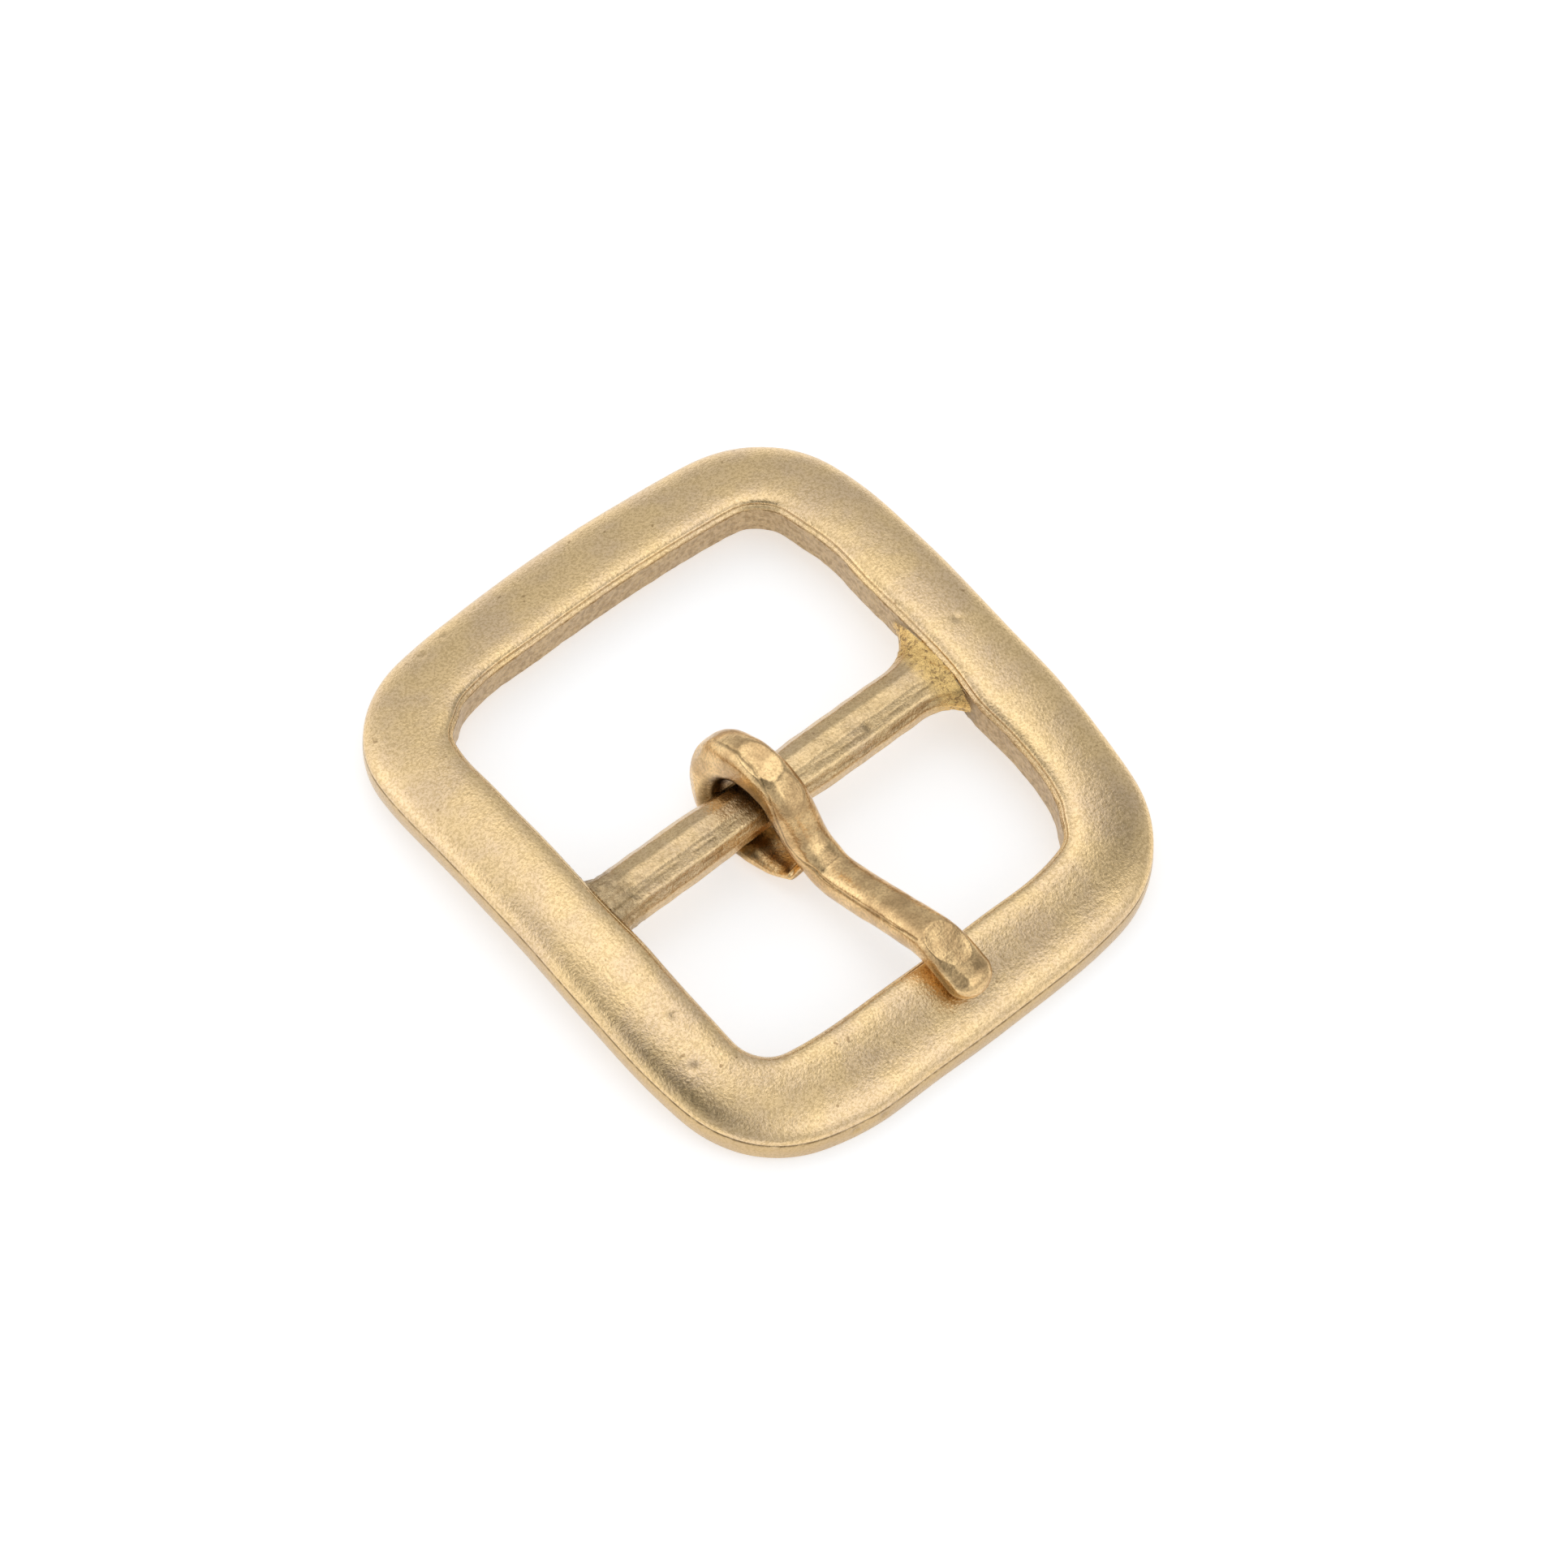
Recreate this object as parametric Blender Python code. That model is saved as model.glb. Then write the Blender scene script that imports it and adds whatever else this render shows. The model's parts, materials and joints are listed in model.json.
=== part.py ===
"""Centre-bar belt buckle in solid cast brass, with one loose prong.

X runs along the centre bar. The prong's tip rests on the band at -Y. +Z is up, away from the wearer.
The origin is in the middle of the buckle, on the flat surface that it rests on.
"""
import math

import bmesh
import bpy
from mathutils import Vector

MM = 0.001

# Driving dimensions, in millimetres.
STRAP_WIDTH = 40.0          # clear width between the side bands, along the bar
WINDOW_LENGTH = 47.7        # clear length between the end bands, across the bar
SIDE_BAND = 7.9             # width of the bands that the bar runs into
END_BAND = 8.3              # width of the bands that the bar is parallel to
OUTER_CORNER = 10.9         # radius of the outer corners
INNER_CORNER = 3.7          # radius of the window's corners
OUTER_SIDE_BOW = 189.0      # radius of the outer side edges, which bow out a little
OUTER_END_BOW = 133.0
INNER_SIDE_BOW = 289.0
INNER_END_BOW = 144.0
ARCH_RADIUS = 137.0         # the whole frame is bent to this radius, highest at the bar
LAND_DEPTH = 0.35           # ground off the underside of the end bands, so that the frame sits flat

# The band's section, measured up from its underside.
PARTING_HEIGHT = 2.65       # seam between the two halves of the mould, on the outer side
CROWN_HEIGHT = 4.65
CROWN_PLACE = 0.62          # where the crown lies, as a share of the way from the outer edge to the inner
BEVEL_HEIGHT = 4.15         # top of the inner wall
BEVEL_WIDTH = 0.4
FOOT_ROUND = 0.4            # rounding of the lower edges

# The centre bar, one casting with the frame.
BAR_PLACE = -1.9            # the bar sits slightly towards the prong's tip
BAR_HEIGHT = 1.6            # its centre, above the underside of the side bands
BAR_HALF_WIDTH = 2.82
BAR_HALF_DEPTH = 2.3
WAIST_HALF_WIDTH = 2.62     # thinner where the prong's hook rides
WAIST_HALF_DEPTH = 2.15
WAIST_PLACE = -2.2
WAIST_LENGTH = 9.0
WAIST_FLAT = 0.5            # share of the waist's length that keeps its least size
BAR_FILLETS = (1.5, 4.4)    # where it runs into the band at -X and at +X
BAR_BURY = 0.3              # share of the side band's width that the bar's end reaches into it

# The prong.
# The hook round the bar: degrees from straight up, over the back; the centre line's distance from the
# bar's; its sideways lead, because the hook is wound a little to one side; and the metal's half-width and
# half-depth. It stands proud over the bar, closes up thin under it and flares at its cut end.
HOOK_CURVE = ((-38.0, 5.2, 0.0, 2.15, 2.0), (0.0, 5.8, -0.2, 2.15, 2.05), (45.0, 5.7, -0.45, 2.1, 1.95),
              (90.0, 5.2, -1.1, 2.05, 1.7), (135.0, 4.6, -1.85, 1.9, 1.35), (180.0, 4.0, -2.25, 1.75, 0.9),
              (208.0, 4.15, -2.35, 1.7, 0.85), (248.0, 6.3, -2.3, 1.6, 0.8))
PRONG_PLACE = -1.5          # the shank's place along the bar, where it crosses the bar
PRONG_YAW = 0.08            # sideways travel of the shank for each millimetre towards the tip
PRONG_SHOULDER = (-7.6, 2.35)
PRONG_ELBOW = (-9.7, 1.0)
PRONG_DIP = (-12.6, 0.6)
PRONG_RISE = (-20.0, 3.45)
PRONG_CREST = (-24.6, 4.85)
PRONG_TIP = (-28.3, 3.72)
SHANK_SIZE = (2.0, 1.85)    # half-width and half-depth
SHANK_FULL = 0.45           # share of the way from the hook to the tip where the shank has its full size
TIP_SIZE = (2.35, 1.65)
TIP_WIDENS = (0.6, 0.95)    # shares of that way between which it widens to the tip's size
TIP_ROUND = 2.0
HOOK_BLEND = 22.0           # degrees back along the hook from which its curve is led on into the shank

SHARP_ANGLE = 38.0          # degrees between faces beyond which an edge is shaded as an edge

# Mesh resolution.
SIDE_STEPS = 14
CORNER_STEPS = 8
DOME_STEPS = 5
BAR_SIDES = 12
WAIST_STEPS = 4
FILLET_SHARES = (0.0, 0.25, 0.5, 0.7, 0.85, 0.95, 1.0)
PRONG_SIDES = 14
HOOK_STEPS = 26
SHANK_STEPS = 34
TIP_STEPS = 5
TIP_CAP_SHARE = 0.35        # of one step, left as the flat cap at the very end of the tip


def clear_scene():
    for item in list(bpy.data.objects):
        bpy.data.objects.remove(item, do_unlink=True)


def brass(name, color, roughness):
    """A brass material of its own for one object."""
    material = bpy.data.materials.new(name)
    material.use_nodes = True
    shader = material.node_tree.nodes["Principled BSDF"]
    shader.inputs["Base Color"].default_value = (*color, 1.0)
    shader.inputs["Metallic"].default_value = 1.0
    shader.inputs["Roughness"].default_value = roughness
    return material


def make_object(name, mesh_builder, material, origin=(0.0, 0.0, 0.0)):
    """An object from a bmesh in millimetres, with its origin where the piece turns."""
    mesh_builder.verts.ensure_lookup_table()
    for vert in mesh_builder.verts:
        vert.co = (vert.co - Vector(origin)) * MM
    bmesh.ops.recalc_face_normals(mesh_builder, faces=mesh_builder.faces)
    mesh = bpy.data.meshes.new(name)
    mesh_builder.to_mesh(mesh)
    mesh_builder.free()
    mesh.materials.append(material)
    item = bpy.data.objects.new(name, mesh)
    item.location = Vector(origin) * MM
    bpy.context.collection.objects.link(item)
    mesh.shade_smooth()
    mesh.set_sharp_from_angle(angle=math.radians(SHARP_ANGLE))
    return item


def loft(rings, closed_path):
    """Skin a list of point rings; an open path gets a flat cap at each end."""
    builder = bmesh.new()
    loops = [[builder.verts.new(point) for point in ring] for ring in rings]
    pairs = list(zip(loops, loops[1:]))
    if closed_path:
        pairs.append((loops[-1], loops[0]))
    for low, high in pairs:
        for place in range(len(low)):
            after = (place + 1) % len(low)
            builder.faces.new((low[place], low[after], high[after], high[place]))
    if not closed_path:
        builder.faces.new(loops[0])
        builder.faces.new(reversed(loops[-1]))
    return builder


def circle_meeting(side_center, end_center, side_reach, end_reach):
    """Centre of the corner arc that touches a side arc and an end arc from inside."""
    across = end_center - side_center
    span = across.length
    along = (side_reach ** 2 - end_reach ** 2 + span ** 2) / (2.0 * span)
    off = math.sqrt(side_reach ** 2 - along ** 2)
    outward = Vector((across.y, -across.x)) / span
    if outward.x + outward.y < 0.0:
        outward = -outward
    return side_center + across * (along / span) + outward * off


def bowed_outline(half_x, half_y, side_bow, end_bow, corner):
    """A rounded rectangle whose sides are shallow arcs, as points anticlockwise from +X."""
    side_center = Vector((half_x - side_bow, 0.0))
    end_center = Vector((0.0, half_y - end_bow))
    corner_center = circle_meeting(side_center, end_center, side_bow - corner, end_bow - corner)
    to_corner = corner_center - side_center
    side_angle = math.atan2(to_corner.y, to_corner.x)
    to_corner = corner_center - end_center
    end_angle = math.atan2(to_corner.y, to_corner.x)

    def arc(center, radius, start, stop, steps):
        for step in range(steps):
            angle = start + (stop - start) * step / steps
            yield center + radius * Vector((math.cos(angle), math.sin(angle)))

    quarter = list(arc(side_center, side_bow, 0.0, side_angle, SIDE_STEPS))
    quarter += list(arc(corner_center, corner, side_angle, end_angle, CORNER_STEPS))
    quarter += list(arc(end_center, end_bow, end_angle, math.pi / 2.0, SIDE_STEPS))
    second = [Vector((-point.x, point.y)) for point in reversed(quarter[1:])]
    half = quarter + [Vector((0.0, half_y))] + second + [Vector((-half_x, 0.0))]
    below = [Vector((point.x, -point.y)) for point in reversed(half[1:-1])]
    return half + below


def band_section():
    """The band's section as (share of the way across, set-in in mm, height), up the outer side first."""
    foot_corner = FOOT_ROUND * (1.0 - math.sqrt(0.5))
    section = [(0.0, FOOT_ROUND, 0.0), (0.0, foot_corner, foot_corner), (0.0, 0.0, FOOT_ROUND)]
    section.append((0.0, 0.0, PARTING_HEIGHT))
    for step in range(1, DOME_STEPS):
        angle = math.pi / 2.0 * step / DOME_STEPS
        rise = (CROWN_HEIGHT - PARTING_HEIGHT) * math.sin(angle)
        section.append((CROWN_PLACE * (1.0 - math.cos(angle)), 0.0, PARTING_HEIGHT + rise))
    for step in range(DOME_STEPS - 1):
        angle = math.pi / 2.0 * step / DOME_STEPS
        share = CROWN_PLACE + (1.0 - CROWN_PLACE) * math.sin(angle)
        height = BEVEL_HEIGHT + (CROWN_HEIGHT - BEVEL_HEIGHT) * math.cos(angle)
        section.append((share, -BEVEL_WIDTH * math.sin(angle), height))
    section.append((1.0, -BEVEL_WIDTH, BEVEL_HEIGHT))
    section.append((1.0, 0.0, BEVEL_HEIGHT - BEVEL_WIDTH))
    section.append((1.0, 0.0, FOOT_ROUND))
    section.append((1.0, -FOOT_ROUND, 0.0))
    return section


def arch_drop(place_y):
    """How far the bent frame falls below its height at the bar."""
    return ARCH_RADIUS - math.sqrt(ARCH_RADIUS ** 2 - place_y ** 2)


HALF_WINDOW_X = STRAP_WIDTH / 2.0
HALF_WINDOW_Y = WINDOW_LENGTH / 2.0
HALF_FRAME_X = HALF_WINDOW_X + SIDE_BAND
HALF_FRAME_Y = HALF_WINDOW_Y + END_BAND
ARCH_RISE = arch_drop(HALF_FRAME_Y) - LAND_DEPTH    # the side bands' underside at the bar, above the table
BAR_CENTER = Vector((0.0, BAR_PLACE, ARCH_RISE + BAR_HEIGHT))


def frame_ring():
    """The bent ring, with the end bands' undersides ground flat on the table plane."""
    outer = bowed_outline(HALF_FRAME_X, HALF_FRAME_Y, OUTER_SIDE_BOW, OUTER_END_BOW, OUTER_CORNER)
    inner = bowed_outline(HALF_WINDOW_X, HALF_WINDOW_Y, INNER_SIDE_BOW, INNER_END_BOW, INNER_CORNER)
    section = band_section()
    rings = []
    for out_point, in_point in zip(outer, inner):
        inward = (in_point - out_point).normalized()
        ring = []
        for share, set_in, height in section:
            place = out_point.lerp(in_point, share) + inward * set_in
            ring.append((place.x, place.y, ARCH_RISE + height - arch_drop(place.y)))
        rings.append(ring)
    builder = loft(rings, closed_path=True)
    bmesh.ops.triangulate(builder, faces=builder.faces[:])
    everything = builder.verts[:] + builder.edges[:] + builder.faces[:]
    cut = bmesh.ops.bisect_plane(builder, geom=everything, plane_co=(0.0, 0.0, 0.0),
                                 plane_no=(0.0, 0.0, -1.0), clear_outer=True)
    rim = [part for part in cut["geom_cut"] if isinstance(part, bmesh.types.BMEdge)]
    bmesh.ops.holes_fill(builder, edges=rim)
    return builder


def smooth_share(value):
    """0 below 0, 1 above 1, and a smooth ramp between."""
    value = min(max(value, 0.0), 1.0)
    return value * value * (3.0 - 2.0 * value)


def bar_size(place_x):
    """Half-width, upper depth and lower depth of the bar at a place along it."""
    from_flat = abs(place_x - WAIST_PLACE) - WAIST_LENGTH * WAIST_FLAT / 2.0
    share = smooth_share(from_flat / (WAIST_LENGTH * WAIST_FLAT))
    width = WAIST_HALF_WIDTH + (BAR_HALF_WIDTH - WAIST_HALF_WIDTH) * share
    depth = WAIST_HALF_DEPTH + (BAR_HALF_DEPTH - WAIST_HALF_DEPTH) * share
    fillet = BAR_FILLETS[place_x > 0.0]
    into_fillet = min(max(abs(place_x) - (HALF_WINDOW_X - fillet), 0.0), fillet)
    flare = fillet - math.sqrt(fillet ** 2 - into_fillet ** 2)
    rise = smooth_share(into_fillet / fillet)
    top_limit = BEVEL_HEIGHT - BEVEL_WIDTH - BAR_HEIGHT
    low_limit = BAR_HEIGHT - 2.0 * FOOT_ROUND
    return width + flare, depth + (top_limit - depth) * rise, depth + (low_limit - depth) * rise


def bar_stations():
    """Places along the bar: close together at the waist and in the fillets."""
    buried = HALF_WINDOW_X + BAR_BURY * SIDE_BAND
    flat_end = WAIST_LENGTH * WAIST_FLAT / 2.0
    slope = WAIST_LENGTH * WAIST_FLAT
    stations = []
    for sign, fillet in zip((-1.0, 1.0), BAR_FILLETS):
        ends = [HALF_WINDOW_X - fillet * (1.0 - share) for share in FILLET_SHARES]
        stations += [sign * place for place in ends + [buried]]
        for step in range(WAIST_STEPS + 1):
            stations.append(WAIST_PLACE + sign * (flat_end + slope * step / WAIST_STEPS))
    return sorted(stations)


def bar_solid():
    """The bar, as long flats between the side bands, with its ends buried in them."""
    flat = math.cos(math.pi / BAR_SIDES)
    rings = []
    for place in bar_stations():
        width, upper, lower = bar_size(place)
        ring = []
        for side in range(BAR_SIDES):
            angle = 2.0 * math.pi * (side + 0.5) / BAR_SIDES
            depth = upper if math.sin(angle) > 0.0 else lower
            ring.append((place, BAR_CENTER.y + width * math.cos(angle) / flat,
                         BAR_CENTER.z + depth * math.sin(angle) / flat))
        rings.append(ring)
    return loft(rings, closed_path=False)


def buckle_frame():
    """The ring and its bar as one casting."""
    material = brass("cast_brass", (0.78, 0.60, 0.33), 0.34)
    ring = make_object("buckle_frame", frame_ring(), material)
    bar = make_object("bar_cutter", bar_solid(), material)
    bar.hide_render = True
    bar.display_type = "WIRE"
    union = ring.modifiers.new("bar", "BOOLEAN")
    union.operation = "UNION"
    union.solver = "EXACT"
    union.object = bar
    return ring


def smooth_curve(points, share):
    """A point on the Catmull-Rom curve through the points, at 0 to 1 of its length in spans."""
    spans = len(points) - 3
    span = min(int(share * spans), spans - 1)
    t = share * spans - span
    a, b, c, d = points[span:span + 4]
    return 0.5 * (2.0 * b + (c - a) * t + (2.0 * a - 5.0 * b + 4.0 * c - d) * t * t
                  + (3.0 * b - a - 3.0 * c + d) * t ** 3)


def hook_point(degrees):
    """The hook's place in the bar's cross-plane, from the bar's centre, its lead and its half-sizes."""
    stops = [stop[0] for stop in HOOK_CURVE]
    spans = len(stops) - 1
    span = min(sum(degrees > stop for stop in stops[1:]), spans - 1)
    share = (span + (degrees - stops[span]) / (stops[span + 1] - stops[span])) / spans
    knots = [Vector(stop[1:]) for stop in HOOK_CURVE]
    knots = [2.0 * knots[0] - knots[1]] + knots + [2.0 * knots[-1] - knots[-2]]
    radius, lead, half_width, half_depth = smooth_curve(knots, share)
    angle = math.radians(degrees)
    place = Vector((radius * math.sin(angle), radius * math.cos(angle)))
    return place, lead, Vector((half_width, half_depth))


def prong_path():
    """Centre line from the hook's end to the tip, as (place across the bar, lead, half-sizes)."""
    path = []
    first, last = HOOK_CURVE[-1][0], HOOK_CURVE[0][0]
    for step in range(HOOK_STEPS):
        path.append(hook_point(first + (last - first) * step / HOOK_STEPS))
    neck, _, neck_size = hook_point(last)
    controls = [hook_point(last + HOOK_BLEND)[0], neck]
    for along, height in (PRONG_SHOULDER, PRONG_ELBOW, PRONG_DIP, PRONG_RISE, PRONG_CREST, PRONG_TIP):
        controls.append(Vector((along - BAR_PLACE, height - BAR_HEIGHT)))
    controls.append(2.0 * controls[-1] - controls[-2])
    for step in range(SHANK_STEPS + 1):
        share = step / SHANK_STEPS
        grown = smooth_share(share / SHANK_FULL)
        widened = smooth_share((share - TIP_WIDENS[0]) / (TIP_WIDENS[1] - TIP_WIDENS[0]))
        size = neck_size.lerp(Vector(SHANK_SIZE), grown).lerp(Vector(TIP_SIZE), widened)
        path.append((smooth_curve(controls, share), 0.0, size))
    last, before = path[-1][0], path[-2][0]
    ahead = (last - before).normalized()
    for step in range(1, TIP_STEPS + 1):
        angle = math.pi / 2.0 * step / (TIP_STEPS + TIP_CAP_SHARE)
        point = last + ahead * TIP_ROUND * math.sin(angle)
        path.append((point, 0.0, Vector(TIP_SIZE) * math.cos(angle)))
    return path


def prong_solid():
    """Ellipses swept along the prong's centre line."""
    centers = []
    for flat, lead, size in prong_path():
        sideways = PRONG_PLACE - PRONG_YAW * flat.x + lead
        centers.append((BAR_CENTER + Vector((sideways, flat.x, flat.y)), size))
    rings = []
    for place, (center, size) in enumerate(centers):
        before = centers[max(place - 1, 0)][0]
        after = centers[min(place + 1, len(centers) - 1)][0]
        along = (after - before).normalized()
        side = (Vector((1.0, 0.0, 0.0)) - along * along.x).normalized()
        up = side.cross(along)
        ring = []
        for corner in range(PRONG_SIDES):
            angle = 2.0 * math.pi * corner / PRONG_SIDES
            ring.append(center + side * size.x * math.cos(angle) + up * size.y * math.sin(angle))
        rings.append(ring)
    return loft(rings, closed_path=False)


def prong():
    """The loose prong, with its origin on the bar's centre line, about which it swings."""
    material = brass("worked_brass", (0.66, 0.47, 0.24), 0.30)
    return make_object("prong", prong_solid(), material, origin=BAR_CENTER)


clear_scene()
buckle_frame()
prong()
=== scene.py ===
# The looks of a solid brass centre-bar buckle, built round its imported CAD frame.
# Lengths are in millimetres until a mesh is made. Directions are the row's: +X along the bar, the prong's
# tip towards -Y, +Z up.
import json
import math

import bpy
import numpy as np
from mathutils import Matrix, Vector, noise
from mathutils.kdtree import KDTree


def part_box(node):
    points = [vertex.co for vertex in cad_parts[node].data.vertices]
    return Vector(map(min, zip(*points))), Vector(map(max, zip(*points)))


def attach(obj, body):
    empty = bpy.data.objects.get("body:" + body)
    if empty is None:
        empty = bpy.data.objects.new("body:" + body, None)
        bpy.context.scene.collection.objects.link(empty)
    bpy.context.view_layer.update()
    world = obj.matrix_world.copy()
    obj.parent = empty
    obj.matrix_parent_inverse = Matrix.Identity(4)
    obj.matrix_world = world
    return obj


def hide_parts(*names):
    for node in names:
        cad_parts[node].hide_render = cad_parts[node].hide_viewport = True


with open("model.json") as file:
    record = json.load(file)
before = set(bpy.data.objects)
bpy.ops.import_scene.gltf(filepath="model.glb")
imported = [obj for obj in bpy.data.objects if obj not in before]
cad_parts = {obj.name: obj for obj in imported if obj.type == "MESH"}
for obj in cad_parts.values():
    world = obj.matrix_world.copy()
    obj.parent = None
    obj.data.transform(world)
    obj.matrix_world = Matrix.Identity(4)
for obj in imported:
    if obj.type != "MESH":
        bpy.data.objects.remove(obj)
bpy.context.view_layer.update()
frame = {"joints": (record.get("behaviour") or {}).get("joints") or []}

MM = 0.001

# Sizes read from the frame.
BAR_CENTER = np.array(frame["joints"][0]["pos_m"]) / MM
HALF_FRAME_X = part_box("buckle_frame")[1].x / MM
HALF_FRAME_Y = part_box("buckle_frame")[1].y / MM

# The ring's plan: the same arcs as the CAD's.
HALF_WINDOW_X = 20.0        # half the clear width along the bar
HALF_WINDOW_Y = 23.85       # half the clear length across it
OUTER_CORNER = 10.9         # radius of the outer corners
INNER_CORNER = 3.7          # radius of the window's corners
OUTER_SIDE_BOW = 189.0      # radius of the outer side edges, which bow out a little
OUTER_END_BOW = 133.0
INNER_SIDE_BOW = 289.0
INNER_END_BOW = 144.0
ARCH_RADIUS = 137.0         # the whole frame is bent to this radius, highest at the bar
LAND_DEPTH = 0.35           # ground off the underside of the end bands, so that the frame sits flat

# Hand finishing leaves each edge a little off its arcs. Each row is a place round the ring in degrees from
# +X, how many degrees it spreads, and how far the edge moves outward there.
OUTER_SWELLS = ((0.0, 13.0, -0.30), (33.0, 9.0, 0.42), (90.0, 22.0, 0.18), (116.0, 9.0, 0.15),
                (143.0, 11.0, 0.70), (180.0, 13.0, -0.28), (-148.0, 9.0, 0.30), (-112.0, 8.0, 0.52),
                (-66.0, 11.0, 0.30), (-9.0, 9.0, -0.12))
INNER_SWELLS = ((35.0, 7.0, 0.50), (50.0, 4.0, -0.15), (117.0, 7.0, 0.28), (129.0, 3.5, -0.55),
                (138.0, 6.0, 0.55), (150.0, 8.0, 0.22), (-159.0, 7.0, -0.20), (-121.0, 13.0, 0.45),
                (-62.0, 9.0, 0.42), (-48.5, 4.0, -0.75), (-21.0, 7.0, -0.55))

# The band's section, measured up from its underside.
SEAM_HEIGHT = 2.65          # where the two halves of the mould met
SEAM_DEPTH = 0.09
SEAM_WIDTH = 0.2
CROWN_HEIGHT = 4.65
CROWN_PLACE = 0.72          # share of the way across, nearer the window than the CAD's crown
BEVEL_HEIGHT = 4.15         # top of the bevel round the window
BEVEL_WIDTH = 0.4
CREASE_DEPTH = 0.05         # of the fine creases above and below the bevel
CREASE_WIDTH = 0.12
CREASE_FALL = 0.06
LOWER_CREASE_FALL = 0.14
FOOT_ROUND = 0.4            # rounding of the lower edges
STRIP_BULGE = 0.08          # of the plain strip below the seam
DOME_FOOT = SEAM_HEIGHT + SEAM_WIDTH / 2.0
BEVEL_FOOT = BEVEL_HEIGHT - BEVEL_WIDTH
WALL_TOP = BEVEL_FOOT - LOWER_CREASE_FALL

# The clearest casting pits, and the radius and depth that each has.
PITS = ((-12.8, 30.2, 4.5), (-15.7, 29.7, 4.5), (-22.3, -14.9, 7.3), (-24.0, -19.7, 6.6),
        (-15.1, -31.7, 1.6), (-12.1, -32.0, 1.5), (23.7, 0.1, 8.1), (10.3, -3.0, 7.2))
PIT_RADIUS = 0.42
PIT_DEPTH = 0.12

# The bar, one casting with the ring.
BAR_HEIGHT = 1.6            # its centre, above the underside of the side bands
BAR_HALF_WIDTH = 2.82
BAR_HALF_DEPTH = 2.3
WAIST_HALF_WIDTH = 2.62     # thinner where the prong's hook rides
WAIST_HALF_DEPTH = 2.15
WAIST_PLACE = -2.2
WAIST_LENGTH = 9.0
WAIST_FLAT = 0.5            # share of the waist's length that keeps its least size
BAR_FILLETS = (1.5, 4.4)    # where it runs into the band at -X and at +X
BAR_BURY = 0.3              # share of the side band's width that the bar's end reaches into it
BAR_FLATS = 12              # flats round its section
SIDE_BAND = HALF_FRAME_X - HALF_WINDOW_X

# Draw lines along the bar, as degrees round its section from +Y and how strong each is.
BAR_LINES = ((124.0, 0.8), (154.0, 0.6), (97.0, 0.3))
BAR_LINE_WIDTH = 2.6        # degrees
BAR_LINE_DEPTH = 0.05
BAR_LINE_WHOLENESS = 0.7    # share that stays unbroken, before the breaks are added
BAR_LINE_DRIFT = (7.0, 0.12, 9)         # degrees, features in a millimetre, and seed
BAR_LINE_BREAKS = (2.0, 0.5, 10)        # share, features in a millimetre, and seed

# The rough as-cast skin where the bar meets the band.
ROUGH_ON_BAR = 3.6          # how far it reaches along the bar from the window's edge
ROUGH_ON_BAR_FADE = 2.0
ROUGH_ON_WALL = 7.0         # how far it reaches along the window's wall from the bar's centre
ROUGH_ON_WALL_FADE = 3.0
WALL_REACH = 1.0            # how far outside the plain window the side walls may lie
WORM_DEPTH = 0.11
WORM_TRACKS = ((2.0, 0.55, 3), (1.0, 0.9, 4))   # share, size of feature and seed

# Unevenness of the skin, as rows of depth, size of feature and seed.
CASTING_WAVES = ((0.035, 7.0, 1), (0.010, 2.0, 2))
WALL_WAVES = ((0.05, 1.5, 5),)
WALL_GRIT = ((0.03, 0.6, 6),)
PRONG_WAVES = ((0.05, 2.2, 7), (0.02, 0.9, 8))
LAND_LEVEL = 0.02           # below this height the skin stays flat
SEED_STEP = (13.7, 7.3, 3.1)    # how far on in the noise each next seed reads

# How strongly painted shade darkens the creases and the pits, and how strongly the wall beside the bar is
# tarnished.
CREASE_SHADE = 0.45
PIT_SHADE = 0.4
WALL_TARNISH = 0.75

# Painted shade on the bar under the hook and on the band under the tip, and a brown patch at the bar's left
# end:
# centre, spread each way and strength.
SHADE_AND_BROWN_PATCHES = (((-2.9, 0.0, 5.0), (2.6, 4.5, 4.0), 0.95), ((0.3, -27.3, 4.0), (2.2, 2.4, 3.0), 0.7),
             ((-18.6, 0.0, 5.0), (2.6, 5.0, 4.0), 0.4))

# The hook round the bar, from the neck to its cut end: degrees from straight up, over the back; the centre
# line's distance from the bar's; its sideways lead; half-width and half-depth. It is fuller than the CAD's,
# and its cut end stands further from the bar.
HOOK_CURVE = ((-38.0, 5.1, 0.0, 2.15, 2.1), (0.0, 5.5, -0.2, 2.15, 2.35), (45.0, 5.4, -0.45, 2.1, 2.25),
              (90.0, 5.0, -0.95, 2.2, 1.85), (135.0, 4.55, -1.6, 2.2, 1.4), (180.0, 4.0, -2.1, 1.95, 0.9),
              (208.0, 4.2, -1.75, 2.2, 1.0), (250.0, 7.2, -1.0, 2.0, 1.15))

# Where the prong crosses the bar, and its sideways travel for each millimetre towards the tip.
PRONG_PLACE = -1.5
PRONG_YAW = 0.08

# The shank's centre line, as places along Y and heights, and its half-widths and half-depths.
PRONG_SHOULDER = (-7.6, 2.35)
PRONG_ELBOW = (-9.7, 1.0)
PRONG_DIP = (-12.6, 0.6)
PRONG_RISE = (-20.0, 3.45)
PRONG_CREST = (-24.6, 4.85)
PRONG_TIP = (-28.3, 3.72)
SHANK_SIZE = (2.0, 1.85)    # half-width and half-depth
SHANK_FULL = 0.45           # share of the way from the hook to the tip where the shank has its full size
TIP_SIZE = (2.35, 1.65)
TIP_WIDENS = (0.6, 0.95)    # shares of that way between which it widens to the tip's size
TIP_ROUND = 2.0
HOOK_BLEND = 22.0           # degrees back along the hook from which its curve is led on into the shank
PRONG_SQUARENESS = 2.6      # 2 is an ellipse, and more is squarer
PRONG_SLIMMING = 0.97       # share of these half-sizes that the skin is drawn at
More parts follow.
